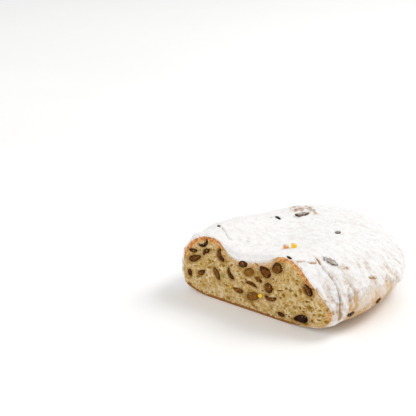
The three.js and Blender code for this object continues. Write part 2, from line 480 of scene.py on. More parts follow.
def edge_distance(flat):
    """Distance of places on the cut from its outline."""
    nearest = np.full(len(flat), np.inf)
    for start, end in zip(OUTLINE, np.roll(OUTLINE, -1, axis=0)):
        side = end - start
        share = np.clip((flat - start) @ side / (side @ side), 0, 1)
        distance = np.linalg.norm(flat - start - share[:, None] * side, axis=1)
        nearest = np.minimum(nearest, distance)
    return nearest


def inside_outline(flat):
    """Which places on the cut lie inside its outline."""
    inside = np.zeros(len(flat), dtype=bool)
    x, z = flat.T
    for (x0, z0), (x1, z1) in zip(OUTLINE, np.roll(OUTLINE, -1, axis=0)):
        if z0 != z1:
            inside ^= ((z0 > z) != (z1 > z)) & (x < (x1 - x0) * (z - z0) / (z1 - z0) + x0)
    return inside


def crumb_lattice(grain_size):
    """A triangular lattice of places over the cut face, clear of its outline, and how clear."""
    low, high = OUTLINE.min(axis=0), OUTLINE.max(axis=0)
    x, z = np.meshgrid(
        np.arange(low[0], high[0], grain_size),
        np.arange(low[1], high[1], grain_size * math.sqrt(3) / 2),
    )
    x[1::2] += grain_size / 2
    flat = np.stack([x.ravel(), z.ravel()], axis=1)
    flat = flat[inside_outline(flat)]
    edge = edge_distance(flat)
    clear = edge > 0.6 * grain_size
    return flat[clear], edge[clear]


def face_triangles(flat):
    """Triangles over the cut, between its outline's points and the given places inside it."""
    ends = [(k, (k + 1) % len(OUTLINE)) for k in range(len(OUTLINE))]
    places = [Vector(p) for p in np.concatenate([OUTLINE, flat])]
    return delaunay_2d_cdt(places, ends, [], 1, 1e-6)[2]


def pores(spots, size, widest, drawn, shift):
    """Depth of the rounded bubbles that the yeast left, one to a cell of that size. The widest
    reach that share of a cell, and all are drawn out sideways by the rolling of the dough."""
    swirl = np.stack([clouds(spots, 4 * size, 2, shift + k) for k in range(3)], axis=1)
    near, _, chance = cells((spots + 0.35 * size * swirl) / (drawn, 1, 1), size, shift)
    radius = widest * (0.25 + 0.75 * chance**1.5)
    return size * np.sqrt(np.clip(radius**2 - near**2, 0, None))


# Holes that stand out in the crumb: x, z, half width, half height, tilt in degrees and depth.
BIG_HOLES = [
    (29.1, 28.3, 2.2, 1.5, 20, 1.5),
    (33.8, 25.6, 1.4, 1.9, 10, 1.5),
    (37.6, 30.6, 1.5, 2.4, 25, 1.5),
    (34.6, 35.6, 1.9, 0.9, -10, 1.2),
    (42.0, 36.6, 1.1, 1.6, 10, 1.2),
    (22.9, 22.4, 1.5, 1.9, 30, 1.6),
    (20.2, 19.6, 1.1, 0.8, 0, 2.4),
    (38.2, 16.0, 0.9, 1.1, 20, 2.4),
    (41.0, 14.4, 1.3, 0.5, 10, 2.2),
    (41.6, 16.8, 0.7, 0.6, 0, 2.2),
    (26.0, 6.9, 0.8, 0.6, 0, 2.2),
    (28.4, 6.0, 1.2, 0.9, -20, 2.0),
    (43.8, 23.3, 1.5, 1.1, 30, 1.7),
    (47.8, 26.2, 1.2, 1.0, 0, 1.7),
    (50.6, 14.2, 1.8, 0.8, 15, 1.6),
    (55.0, 11.2, 2.0, 0.8, 10, 1.6),
    (49.2, 8.6, 1.4, 1.4, 40, 1.6),
    (58.6, 15.8, 1.6, 0.8, 20, 1.5),
    (-35.0, 31.2, 1.6, 1.2, -30, 1.4),
    (-30.5, 15.0, 4.2, 0.7, -6, 1.3),
    (-12.8, 25.4, 1.4, 1.1, 20, 1.4),
    (-26.5, 34.8, 1.2, 1.2, 0, 1.5),
    (-48.5, 32.2, 1.6, 1.2, 20, 1.3),
    (3.5, 20.6, 1.2, 0.7, 0, 1.6),
    (19.6, 25.4, 3.6, 0.6, 14, 2.2),
    (-63.0, 23.6, 1.3, 0.8, 20, 1.4),
    (-2.4, 41.2, 2.2, 1.1, -25, 1.8),
    (-1.6, 27.4, 1.5, 0.8, 20, 1.7),
    (2.2, 31.6, 1.0, 0.8, 0, 1.8),
    (13.2, 33.4, 1.2, 0.8, -30, 1.8),
    (-16.4, 22.4, 1.7, 0.7, -10, 1.6),
    (-26.8, 33.6, 0.9, 1.3, 10, 1.5),
    (6.6, 17.8, 2.0, 0.8, 10, 1.5),
    (-7.2, 14.4, 1.6, 0.9, -10, 1.4),
]


def big_holes(flat):
    """Depth of the listed holes at places on the cut, with ragged rims."""
    depth = np.zeros(len(flat))
    for x, z, half_wide, half_high, tilt, deep in BIG_HOLES:
        turn = math.radians(tilt)
        offset = flat - (x, z)
        along = offset @ (math.cos(turn), math.sin(turn)) / half_wide
        across = offset @ (-math.sin(turn), math.cos(turn)) / half_high
        rim = 1.12 + 0.168 * np.sin(7 * np.arctan2(across, along) + x)
        depth = np.maximum(depth, deep * smooth(rim - np.hypot(along, across), 0, 0.75))
    return depth


def make_cut_face():
    """Places, relief and looks of the cut face's own points."""
    flat, edge = crumb_lattice(CRUMB_GRAIN)
    x, z = flat.T
    spots = np.stack([x, np.zeros(len(flat)), z], axis=1)
    coarse = smooth(x, 20, 44)
    fine = pores(spots, size=2.4, widest=0.44, drawn=1.3, shift=3.0)
    middling = pores(spots, size=5.2, widest=0.3 + 0.12 * coarse, drawn=1.5, shift=11.0)
    holes = big_holes(flat)
    torn = 0.28 * clouds(spots, 15, 2) + 0.2 * clouds(spots, 2.4, 4, 7.0)  # by the knife
    outside = np.min([in_raisin(flat, raisin) for raisin in CUT_RAISINS], axis=0)
    pocket = POCKET * (1 - smooth(outside, 0.88, 1.1))
    pits = np.maximum(np.maximum(fine, middling), holes)
    pits *= smooth(outside, 1.0, 1.2) * smooth(edge, 0.4, 1.8)
    sunk = pits + pocket - torn * smooth(edge, 0, 1.5)

    ragged = 0.5 + 0.5 * clouds(spots, 3.2, 3, 3.0)
    wide = np.where(z > 9, 7.0, 3.4)  # the crust is thinner under the loaf
    sifted = 0.65 * bell(edge, 2.6) + 0.34 * bell(edge, 6) + 0.16 * clouds(spots, 1.5, 3, 6.0)
    dust = valley(x, z) * np.clip(sifted, 0, 1)
    dust += 0.5 * smooth(x, 40, 52) * bell(edge, 1.2)
    looks = {
        "crust": browned(x, z) * (1 - smooth(edge, 0.3 * wide, wide * (0.4 + ragged))),
        "baked": 1 - smooth(z, 4, 14),
        # The look below darkens each pore and hole by its depth, and the pocket round each cut
        # raisin: painted shade.
        "pit_shade": np.clip(pits / 1.9 + 0.4 * pocket / POCKET, 0, 1),
        "stain": bell(np.clip(outside - 1, 0, None), 0.65),
        "powder": dust * (edge < 7),
    }
    return flat, spots + (CUT + sunk)[:, None] * AHEAD, looks


def make_loaf(material):
    """The dough: the cut face, the crust round it and the flat base, as one closed body."""
    crust = SKIN + OUTWARD * SWELL[..., None]
    surface = crust[::SKIN_STEP, ::SKIN_STEP]
    surface[-1] = crust[-1, 0]
    powder = np.maximum(COVER, 0.15)[::SKIN_STEP, ::SKIN_STEP]
    rows, columns = surface.shape[:2]
    index = grid_numbers(rows, columns)
    used = index[-1, 0] + 1
    side = surface.reshape(-1, 3)[:used]
    side_looks = {
        "crust": np.ones(used),
        "baked": 1 - smooth(side[:, 2], 0, 2),
        "pit_shade": np.zeros(used),
        "stain": np.zeros(used),
        "powder": powder.ravel()[:used] * smooth(side[:, 2], -1, 1.5),
    }
    ring = side[:columns]
    side_looks["crust"][:columns] = 0.2 + 0.8 * browned(ring[:, 0], ring[:, 2])
    side_looks["powder"][:columns] = valley(ring[:, 0], ring[:, 2])

    flat, face_points, face_looks = make_cut_face()
    number = np.concatenate([index[0], used + np.arange(len(flat))])
    faces = strip_faces(index).reshape(-1, 4).tolist()
    faces += number[np.array(face_triangles(flat))].tolist()
    points = np.concatenate([side, face_points])
    looks = {label: np.concatenate([side_looks[label], face_looks[label]]) for label in side_looks}
    mesh = new_mesh("sliced_loaf", points, rounded_faces(faces), looks)
    mesh.set_sharp_from_angle(angle=math.radians(58))
    new_piece("sliced_loaf", mesh, material, "loaf")


# ---------------------------------------------------------------------------------- the icing sugar

# Lines over the sugar: the places that each passes, its half width and depth, and how much of the
# crust shows at its bottom.
CREASES = [
    ([(39, -61, 53), (42, -62, 51), (45.5, -63, 48)], 0.9, 1.5, 0.8),  # open crack on the ridge
    ([(36, -60, 54), (39, -63, 53), (43, -66, 50)], 0.6, 0.8, 0.3),
    ([(45.5, -63, 48), (49, -63, 45), (55, -62, 40), (60.5, -63.5, 35), (64.5, -66.5, 30),
      (67.5, -70.5, 26), (70, -73.5, 21), (71, -75, 15)], 0.7, 1.9, 0.4),  # fold below the crack
    ([(33, -78, 53.4), (35.3, -75.6, 52.9), (37.1, -71.5, 52.3)], 0.7, 0.5, 0.7),
    ([(37.5, -71.4, 52), (40.9, -68.1, 50.5), (42.5, -64.8, 50)], 0.8, 0.5, 0.75),
    ([(69.4, -29.6, 32.4), (71.6, -25, 30.9), (72.4, -21.5, 29.6)], 0.7, 0.5, 0.6),
    ([(48, -60, 47), (53, -59, 43), (58, -59, 38), (63, -61, 33), (67, -64, 29)], 1.0, 0.6, 0.08),
    ([(44, -68, 48), (47, -70, 45), (50, -71, 42)], 1.3, 0.7, 0.12),
    ([(52, -69, 41), (56, -70, 37), (60, -72, 32)], 1.4, 0.6, 0.1),
    ([(59, -51.5, 39), (63, -50.5, 36), (67, -51.5, 32), (71, -52.5, 28.5), (74, -55, 25),
      (76, -57, 21)], 2.3, 1.5, 0.22),  # broad groove behind it
    ([(66, -57, 32), (70, -60, 27), (73, -63, 22), (74, -66, 17)], 1.3, 0.9, 0.2),
    ([(68, -42, 33), (73, -45, 28), (76, -49, 23)], 1.6, 0.7, 0.15),
    ([(69, -30, 33), (71.5, -26, 31), (71.5, -21, 31)], 0.9, 0.8, 0.45),
    ([(50, -42, 48), (55, -37, 44), (60, -30, 40)], 1.5, 0.5, 0.1),
    ([(9.6, 22.5, 48.7), (15.9, 26, 48), (23.6, 29.5, 47), (32, 32.8, 45.3)], 0.8, 0.8, 0.28),
    ([(55.9, 42.5, 31.8), (59.6, 37.8, 30.7), (62.9, 34.2, 29.2)], 0.7, 0.7, 0.35),
    ([(-49, -62, 55), (-44, -65, 54.5), (-40, -68, 54), (-33, -70.5, 51)], 0.7, 1.3, 0.5),
    ([(-56.5, -58, 54), (-53, -60, 55), (-48, -62.5, 55)], 1.1, 0.9, 0.5),
]

# Places where the sugar is thin and the crust shows through it: middle, reach, and how much.
THIN_SPOTS = [
    ((34, -77, 53.5), 1.8, 0.4),
    ((36, -74, 53), 1.8, 0.4),
    ((41, -68, 51), 2.6, 0.4),
    ((42, -56, 52), 2.4, 0.3),
    ((46, -54, 50), 3.0, 0.4),
    ((55, -47, 43.5), 3.5, 0.4),
    ((58, -43, 42), 3.0, 0.3),
    ((63, -54, 35), 3.5, 0.42),
    ((72, -57, 26), 4.5, 0.3),
    ((68, -70, 25), 2.0, 0.5),
    ((70, -73, 18), 4.5, 0.45),
    ((75, -62, 17), 4.5, 0.25),
    ((66, -76, 20), 3.5, 0.35),
    ((71.5, -25, 31), 2.5, 0.35),
    ((72, -1, 29), 4.0, 0.3),
    ((77, -11, 25), 3.5, 0.45),
    ((77, 3, 24), 4.0, 0.4),
    ((-32, 20, 50), 6.0, 0.6),
    ((-24, 17, 50), 5.0, 0.55),
    ((-23, 27, 50), 5.0, 0.55),
    ((-13, 22, 50), 5.0, 0.55),
    ((-37, 27, 49), 4.5, 0.6),
    ((-37, -9, 51), 3.0, 0.2),
    ((42, 23, 43.7), 2.2, 0.25),
    ((54, -72, 38), 2.5, 0.25),
    ((60, -74, 30), 3.0, 0.25),
]

# Places where a raisin lies just under the sugar and greys it: middle, reach, and how much.
GREY_SPOTS = [
    ((43, -56, 51.5), 2.0, 0.45),
    ((45, -55.5, 50.3), 2.6, 0.7),
    ((48, -53, 48.6), 3.6, 1.0),
    ((50.5, -50.5, 47), 2.8, 0.9),
    ((-27, 19, 50), 4.0, 0.45),
    ((-20, 25, 50), 4.0, 0.5),
    ((25, -3, 49.3), 2.6, 0.75),
    ((-37, -9, 51), 3.0, 0.5),
    ((-53, -60, 55), 1.8, 0.6),
    ((-19, 11, 50), 3.0, 0.35),
    ((-15, 24, 50), 2.5, 0.4),
    ((47.5, 17, 42.7), 2.2, 0.3),
    ((56, -71, 36), 5.0, 0.25),
    ((62, -70, 30), 6.0, 0.3),
    ((67, -60, 30), 5.0, 0.2),
]

# Broad swellings and dents of the roof: middle, reach and height.
SWELLINGS = [
    ((-24, 26, 50), 14, 2.2),
    ((-20, 26, 50), 6, 0.7),
    ((-31, 23, 50), 5, 0.7),
    ((-43, -4, 50), 9, -1.1),
    ((-19, 12, 50), 5, 0.9),
    ((25, -3, 49), 4, 0.5),
    ((60, -52, 38), 6, 0.8),
    ((70, -48, 28), 5, 0.7),
    ((50, -70, 43), 5, 0.4),
    ((-60, -70, 52), 4, 1.1),
    ((-69, -71, 45), 4, 1.8),
    ((-76, -68, 34), 5, 1.5),
    ((-66, -52, 50), 5, 1.2),
    ((-70, -30, 44), 6, 0.9),
]


def snapped_line(tree, places, step=0.5):
    """Points along a soft line through the places, one at each step, laid on a surface."""
    places = np.array(places, dtype=float)
    walked = np.concatenate([[0], np.cumsum(np.linalg.norm(np.diff(places, axis=0), axis=1))])
    marks = np.arange(0, walked[-1] + step, step)
    line = np.stack([np.interp(marks, walked, places[:, axis]) for axis in range(3)], axis=1)
    wide = min(7, len(line) // 3)  # how many points on each side round a corner off
    weights = np.ones(2 * wide + 1) / (2 * wide + 1)
    padded = np.concatenate([np.repeat(line[:1], wide, 0), line, np.repeat(line[-1:], wide, 0)])
    line = np.stack([np.convolve(padded[:, axis], weights, "valid") for axis in range(3)], axis=1)
    return np.array([tree.find_nearest(Vector(p))[0] for p in line])


def line_distance(points, line, reach):
    """Distance of each point from a line, or the reach where it is farther."""
    distance = np.full(points.shape[:-1], float(reach))
    low, high = line.min(axis=0) - reach, line.max(axis=0) + reach
    near = np.all((points > low) & (points < high), axis=-1)
    gaps = np.linalg.norm(points[near][:, None] - line[None], axis=-1).min(axis=1)
    distance[near] = np.minimum(gaps, reach)
    return distance


def skin_tree(points):
    """A tree of a surface over the skin's grid, with every third point of it."""
    coarse = thinned(points)
    return tree_from(coarse, skin_faces(coarse))


def spot_on_sugar(tree, middle, reach):
    """A soft spot over the sugar, round the place on it that is nearest to a given one."""
    nearest = np.array(tree.find_nearest(Vector(middle))[0])
    return bell(np.linalg.norm(PLAIN_COAT - nearest, axis=-1), reach)


def sugar_looks():
    """Thickness of the sugar over the skin, how fully it covers the crust, and how grey it is."""
    x, y, z = np.moveaxis(SKIN, -1, 0)
    flank = right_flank(SKIN)
    streaks = clouds(SKIN / (14, 3.6, 14), 1.0, 3, 9.0)
    near, second, _ = cells(SKIN, 5.0, 4.0)
    lumpy = np.clip(second - near, 0, 0.6)  # clods with narrow seams between them
    depth = COAT + 0.4 * clouds(SKIN, 15, 2, 1.0) + (0.12 + 0.46 * flank) * streaks
    depth += 0.7 * (lumpy - 0.3) + 0.2 * clouds(SKIN, 2.4, 3, 6.0) + 0.2 * clouds(SKIN, 6, 2, 2.0)
    depth += BANK * valley(x, z) * (1 - smooth(y - CUT, 3, 16)) * smooth(y - CUT, -9, 4)
    patches = clouds(SKIN / (8, 4.5, 8), 1.0, 3, 21.0)
    bare = flank * (0.14 + 0.3 * smooth(patches, 0.0, 0.8) + 0.16 * smooth(-streaks, 0.0, 0.6))
    bare *= (1 - 0.4 * smooth(y, -35, 20)) * (0.35 + 0.65 * smooth(z - RIM, -8, 6))
    bare += 0.1 * (1 - flank) * smooth(-streaks, 0.25, 0.8) * smooth(patches, -0.2, 0.6)
    grey = 0.35 * flank * smooth(clouds(SKIN / (6, 4, 6), 1.0, 2, 31.0), 0.1, 0.8)

    plain_tree = skin_tree(PLAIN_COAT)
    speckle = 0.85 + 1.1 * clouds(SKIN, 2.2, 3, 17.0)
    for middle, reach, height in SWELLINGS:
        depth += height * spot_on_sugar(plain_tree, middle, reach)
    for middle, reach, shows in THIN_SPOTS:
        here = spot_on_sugar(plain_tree, middle, reach)
        depth -= 0.5 * here * shows
        bare += shows * here * speckle
    for middle, reach, shows in GREY_SPOTS:
        here = spot_on_sugar(plain_tree, middle, reach)
        depth += 0.5 * here
        grey += shows * here * speckle
    for places, half_width, deep, shows in CREASES:
        line = snapped_line(plain_tree, places)
        gap = line_distance(PLAIN_COAT, line, 5 * half_width)
        raised = 0.35 * deep * bell(gap - 2 * half_width, half_width)  # lips on both sides
        depth += raised - deep * bell(gap, half_width)
        bare += shows * bell(gap, 0.8 * half_width)

    end = smooth(z - RIM, -1, 6)
    bare += 0.12 * flank * (1 - smooth(z - RIM, 0, 9))
    under = SWELL - TUCKED
    depth = under + (depth - under) * end
    at_cut = bell(y - CUT, 1.2) * (1 - valley(x, z))
    bare += at_cut * (0.1 + 0.45 * smooth(clouds(SKIN, 5, 3, 13.0), -0.1, 0.5))
    powder = np.clip(POWDER - bare, 0, 1)
    depth[-1], powder[-1], grey[-1] = depth[-1].mean(), powder[-1].mean(), grey[-1].mean()
    return depth, powder, np.clip(grey, 0, 1)


DEPTH, COVER, GREY = sugar_looks()
COAT_TREE = skin_tree(SKIN + OUTWARD * DEPTH[..., None])


def sugar_lip():
    """The edge of the sugar at the cut: thin and crumbly over the browned folds, and in the valley
    a thick soft bank that hangs over the crumb."""
    skin, out, thick, swell = SKIN[0], OUTWARD[0], DEPTH[0], SWELL[0]
    hang = valley(skin[:, 0], skin[:, 2])
    wavy, rough = clouds(skin, 3.5, 3, 8.0), clouds(skin, 1.6, 2, 15.0)
    bulge = (0.25 + 0.3 * wavy) * (1 - hang) + (2.4 + 0.4 * wavy) * hang
    low = (swell - TUCKED - 0.25 * wavy) * (1 - hang) - (0.3 + 0.6 * wavy + 0.5 * rough) * hang
    rows = []
    for step in range(LIP_ROWS, 0, -1):
        turn = 0.5 * math.pi * step / LIP_ROWS
        height = low + (thick - low) * math.cos(turn)
        forward = bulge * math.sin(turn) * smooth(thick - swell, 0, 0.5)
        rows.append(skin + out * height[:, None] - forward[:, None] * AHEAD)
    return np.array(rows)


def make_sugar_coat(material):
    """The icing sugar, a closed shell: outside, rounded lip at the cut, and a coarser inside that
    is buried in the crust. Each quad of the inside lies under a square block of the outside."""
    outer = SKIN + OUTWARD * DEPTH[..., None]
    inner = thinned(SKIN + OUTWARD * (SWELL - BURIED)[..., None])
    inner[0, :, 1] += 0.4  # clear of the cut face
    shell = np.concatenate([sugar_lip(), outer])
    outer_index = grid_numbers(*shell.shape[:2])
    inner_index = grid_numbers(*inner.shape[:2]) + outer_index.size

    proud = (DEPTH > SWELL - BARE)[:-1].reshape(len(inner) - 1, LAYER_STEP, -1, LAYER_STEP)
    blocks = proud.any(axis=(1, 3))
    cell = np.repeat(np.repeat(blocks, LAYER_STEP, axis=0), LAYER_STEP, axis=1)
    cell = np.concatenate([np.repeat(cell[:1], LIP_ROWS, axis=0), cell])
    faces = strip_faces(outer_index)[cell].tolist()
    faces += strip_faces(inner_index)[blocks][:, ::-1].tolist()
    faces += sugar_walls(blocks, outer_index, inner_index)

    points = np.concatenate([shell.reshape(-1, 3), inner.reshape(-1, 3)])
    looks = {}
    for label, values in (("bare", 1 - COVER), ("grey", GREY)):
        front = np.repeat(values[:1], LIP_ROWS, axis=0)
        looks[label] = np.concatenate([front.ravel(), values.ravel(), np.zeros(inner_index.size)])
    mesh = new_mesh("icing_sugar_coat", points, rounded_faces(faces), looks)
    drop_loose_points(mesh)
    new_piece("icing_sugar_coat", mesh, material, "sugar_coat")


def sugar_walls(blocks, outer, inner):
    """The faces that join the rim of the sugar's outside to its inside, one to each open side of a
    block. They start in front of the cut, at the last row of the rounded edge."""
    walls = []
    for row, column in np.argwhere(blocks):
        first = LIP_ROWS + row * LAYER_STEP if row else 0
        last = LIP_ROWS + (row + 1) * LAYER_STEP
        after = (column + 1) % blocks.shape[1]
        left, right = column * LAYER_STEP, after * LAYER_STEP
        across = np.arange(left, left + LAYER_STEP + 1) % outer.shape[1]
        near, far = inner[row], inner[row + 1]
        if not blocks[row, column - 1]:
            walls.append([*outer[first : last + 1, left][::-1], near[column], far[column]])
        if not blocks[row, after]:
            walls.append([*outer[first : last + 1, right], far[after], near[after]])
        if row == 0 or not blocks[row - 1, column]:
            walls.append([*outer[first, across], near[after], near[column]])
        if row + 1 < len(blocks) and not blocks[row + 1, column]:
            walls.append([*outer[last, across][::-1], far[column], far[after]])
    return walls


# ------------------------------------------------------------------------------------------ raisins


def bent_body(raisin, body, swelling):
    """Places on the cut for a ball's points that take the shape of a bent raisin."""
    along = body[:, 0] * swelling
    over = body[:, 2] * swelling * (1 + raisin["taper"] * body[:, 0])
    return place_in_raisin(raisin, along, over)


def wrinkles(body, seed):
    """How far a dried skin's folds draw it in: 1 where it is smooth."""
    broad = 0.24 * clouds(body, 0.8, 2, seed)
    folds = 0.1 * bell(clouds(body, 0.5, 2, seed + 7), 0.12)
    return 1 + broad - folds


def make_cut_raisin(number, raisin, node, material):
    """A raisin that the knife went through: wrinkled skin, bent body, and flesh in front."""
    body, faces = ball(4)
    flat = bent_body(raisin, body, wrinkles(body, 3.7 * number))
    front = raisin["shrunk"] * 0.55 - 0.2
    lean = 0.35 * (body[:, 0] * math.cos(2.1 * number) + body[:, 2] * math.sin(2.1 * number))
    spots = np.stack([flat[:, 0], np.full(len(flat), 9.0 * number), flat[:, 1]], axis=1)
    folds = bell(clouds(spots, 2.6, 2, 5.0), 0.09)
    sliced = front + lean + 0.14 * clouds(spots, 1.1, 3) + 0.35 * folds
    dome = 0.9 + 1.7 * body[:, 1]
    back = 0.9 + body[:, 1] * (raisin["deep"] - 0.9)
    depth = np.where(body[:, 1] < 0, np.maximum(dome, sliced), back)
    ragged = 0.5 * clouds(spots, 2.4, 2, 8.0)
    flesh = smooth(sliced - dome + ragged, 0.0, 0.35) * (1 - 0.8 * folds)
    looks = {
        "flesh": np.where(body[:, 1] < 0, flesh, 0),
        "dark": np.full(len(body), raisin["dark"]),
        "powder": np.zeros(len(body)),
    }
    points = np.stack([flat[:, 0], CUT + depth, flat[:, 1]], axis=1)
    mesh = new_mesh(f"dried_raisin_{number:02d}", points, faces, looks)
    new_piece(mesh.name, mesh, material, node)


# Raisins that stick out of the sugar or the crust: a name, the place, the way it points, its
# length, width and height, how far it is bent, how dark it is and how much powder lies on it.
LOOSE_RAISINS = [
    ("roof_raisin_long", (-18, 11.5, 50), (7.5, 10.4, 0), (12.5, 4.4, 3.2), 0.4, 0.6, 0.5),
    ("roof_raisin_short", (-32, -5.2, 50), (8.2, -3.4, 0), (7.5, 3.0, 2.2), -0.3, 1.0, 0.28),
    ("roof_raisin_buried", (25, -3, 49.3), (1.0, 5.0, 0), (5.6, 3.8, 2.4), 0.2, 0.6, 0.6),
    ("roof_raisin_at_fold", (-54.5, -59.5, 55), (5.0, -3.0, 0), (4.2, 2.2, 1.8), 0.4, 0.8, 0.4),
    ("ridge_raisin_grey", (48.5, -52.5, 47.8), (3.6, 2.4, -2.6), (8.5, 4.2, 1.0), 0.1, 0.3, 0.6),
    ("ridge_raisin_at_cut", (26.5, CUT, 53.0), (4.0, 0, -0.9), (4.6, 2.2, 1.6), 0.2, 0.5, 0.1),
    ("foot_raisin_baked", (81.5, -31, 14.5), (1.4, 5.0, 1.0), (6.4, 3.8, 3.0), 0.4, 0.3, 0.1),
    ("foot_raisin_dusted", (76.5, -63, 14.0), (1.0, 5.0, 0.8), (8.4, 4.0, 2.6), 0.2, 0.6, 0.3),
    ("left_raisin_baked", (-80, -44, 22), (0.5, 5.0, 1.5), (7.5, 4.2, 2.6), 0.3, 0.6, 0.35),
    ("left_raisin_dusted", (-74, 18, 16), (1.5, 5.0, 0.5), (7.0, 4.5, 2.6), 0.3, 0.6, 0.5),
    ("end_raisin_baked", (22, 76, 15), (5.0, -1.0, 1.0), (8.0, 4.5, 2.6), 0.5, 0.6, 0.35),
]


def surface_axes(tree, place, towards):
    """The nearest place on a surface, and the ways along, across and out of it there."""
    middle, up, *_ = tree.find_nearest(Vector(place))
    middle, up = np.array(middle), np.array(up)
    up = up * np.sign(up @ (middle - (0, 0, HEART)))
    along = np.array(towards, dtype=float)
    along = unit(along - up * (along @ up))
    return middle, along, np.cross(up, along), up


def make_loose_raisin(number, name, place, towards, size, bend, dark, powder, material):
    """A whole dried raisin, sunk halfway into the sugar or the crust."""
    body, faces = ball(4)
    long_half, wide_half, high_half = np.array(size) / 2
    swelling = wrinkles(body, 11.3 * number)
    u, v, w = (body * swelling[:, None]).T
    reach = long_half / bend
    side = (reach - v * wide_half) * np.sin(u * bend)
    over = reach - (reach - v * wide_half) * np.cos(u * bend)
    middle, along, across, up = surface_axes(COAT_TREE, place, towards)
    proud = w * high_half + 0.1 * high_half
    offsets = side[:, None] * along + over[:, None] * across + proud[:, None] * up
    looks = {
        "flesh": np.zeros(len(body)),
        "dark": np.full(len(body), dark),
        "powder": powder * smooth(body[:, 2] + 0.6 * clouds(body, 0.5, 3, number), -0.3, 0.7),
    }
    new_piece(name, new_mesh(name, middle + offsets, faces, looks), material)


# ------------------------------------------------------------------------------------- candied peel

# Bits of peel in the cut: x, z, length, thickness and tilt in degrees.
LEMON_BITS = [
    (1.7, 15.7, 4.4, 3.2, 40),
    (-27.4, 15.0, 2.2, 1.2, 10),
]
CITRON_BITS = [
    (-61.0, 13.3, 2.6, 1.3, 45),
    (19.7, 39.4, 2.4, 1.2, 80),
    (-34.6, 22.8, 4.6, 3.4, 10),
    (31.6, 10.2, 3.8, 2.0, 5),
    (-49.6, 33.2, 1.6, 1.1, 30),
    (-27.0, 21.0, 1.5, 1.1, 0),
    (28.6, 41.0, 1.3, 1.0, 20),
    (-19.0, 28.0, 1.6, 0.9, 10),
    (12.2, 9.6, 1.9, 1.0, 15),
    (-66.5, 24.5, 1.2, 0.9, 60),
]
ORANGE_BITS = [
    (62.4, 17.6, 3.4, 2.2, 60),
    (58.6, 22.0, 1.8, 1.2, 70),
    (65.0, 12.6, 2.0, 1.4, 10),
    (49.0, 11.0, 1.7, 1.1, 20),
]

# Larger cubes on the roof: the place, the way it points, and its length, width and height.
LEMON_CUBE = ((13.4, -51, 50), (3.0, 3.2, 0), (4.4, 4.8, 5.2))
ORANGE_CUBE = ((7.0, -52.5, 49), (4.0, -1.0, 0), (4.4, 3.4, 4.6))


def candied_bit(seed, size):
    """Points and faces of a small cube of peel with worn corners and shrunken sides."""
    work = bmesh.new()
    bmesh.ops.create_cube(work, size=1)
    bmesh.ops.subdivide_edges(work, edges=work.edges[:], cuts=3, use_grid_fill=True)
    points, faces = taken_from(work)
    bulk = np.linalg.norm(points, axis=1, keepdims=True)
    points = points * (0.62 + 0.38 * 0.5 / bulk)  # partly a ball of half a unit's radius
    dents = np.stack([clouds(points, 0.7, 2, seed + 3 * k) for k in range(3)], axis=1)
    return (points + 0.16 * dents) * size, faces


def bit_in_cut(seed, x, z, length, thick, tilt):
    """A bit of peel that the knife went through, level with the crumb."""
    points, faces = candied_bit(seed, (length, thick, thick))
    turn = math.radians(tilt)
    along = np.array([math.cos(turn), 0, math.sin(turn)])
    across = np.array([-math.sin(turn), 0, math.cos(turn)])
    behind = np.maximum(points[:, 2], -0.35 - 0.1 * np.cos(3 * points[:, 0]))
    middle = np.array([x, CUT + 0.15, z])
    placed = middle + points[:, :1] * along + points[:, 1:2] * across + behind[:, None] * AHEAD
    return placed, faces, {"powder": np.zeros(len(points))}


def cube_on_roof(seed, place, towards, size, powder):
    """A cube of peel that sits in the sugar, with powder on its upper side."""
    points, faces = candied_bit(seed, size)
    middle, along, across, up = surface_axes(COAT_TREE, place, towards)
    placed = middle + points @ np.stack([along, across, up]) + up * 0.12 * size[2]
    height = points[:, 2] / size[2] + 0.4 * clouds(points, 1.0, 3, seed)
    return placed, faces, {"powder": powder * smooth(height, -0.1, 0.6)}


def make_peel(name, material, bits, cube=None, powder=0):
    """All the peel of one fruit as one piece: the bits in the cut and the cube on the roof."""
    parts = [bit_in_cut(1.7 * number, *bit) for number, bit in enumerate(bits, 1)]
    if cube:
        parts.append(cube_on_roof(5.0, *cube, powder))
    points, faces, looks = joined(parts)
    new_piece(name, fixed_normals(new_mesh(name, points, faces, looks)), material)


# ---------------------------------------------------------------------------- bare slivers of crust

# Where the baked crust breaks through the sugar in a narrow sliver: the places that it passes, its
# half width and half height.
SLIVERS = [
    ([(39.2, -60.4, 52.9), (42.3, -61.9, 50.6), (45.7, -63.4, 47.9)], 0.62, 0.5),
    ([(67.6, -70.6, 26.4), (69.4, -73.0, 22.4), (70.4, -74.6, 18.0)], 0.5, 0.3),
]
SLIVER_SIDES = 10


def make_slivers(material):
    """Each sliver is a thin lens that follows the crack it lies in."""
    parts = []
    for number, (places, half_width, half_height) in enumerate(SLIVERS):
        line = snapped_line(COAT_TREE, places, 0.4)
        along = unit(np.gradient(line, axis=0))
        ups = np.array([surface_axes(COAT_TREE, p, (1, 0, 0))[3] for p in line])
        across = unit(np.cross(ups, along))
        share = np.linspace(-1, 1, len(line))
        fullness = np.sqrt(np.clip(1 - share**2, 0.002, 1))
        fullness *= 1 + 0.35 * clouds(line, 1.5, 2, number)
        angles = np.linspace(0, 2 * math.pi, SLIVER_SIDES, endpoint=False)[None, :, None]
        wide = np.cos(angles) * across[:, None] * (half_width * fullness)[:, None, None]
        high = np.sin(angles) * ups[:, None] * (half_height * fullness)[:, None, None]
        rings = line[:, None] + wide + high
        index = np.arange(rings.shape[0] * SLIVER_SIDES).reshape(-1, SLIVER_SIDES)
        faces = strip_faces(index).reshape(-1, 4).tolist()
        faces += [index[0].tolist()[::-1], index[-1].tolist()]
        looks = {"crust": 1.0, "baked": 0.75, "pit_shade": 0.0, "stain": 0.0, "powder": 0.12}
        parts.append((rings.reshape(-1, 3), faces, looks))
    points, faces, looks = joined(parts)
    mesh = fixed_normals(new_mesh("bare_crust_slivers", points, faces, looks))
    new_piece("bare_crust_slivers", mesh, material)


# ---------------------------------------------------------------------------------------- materials

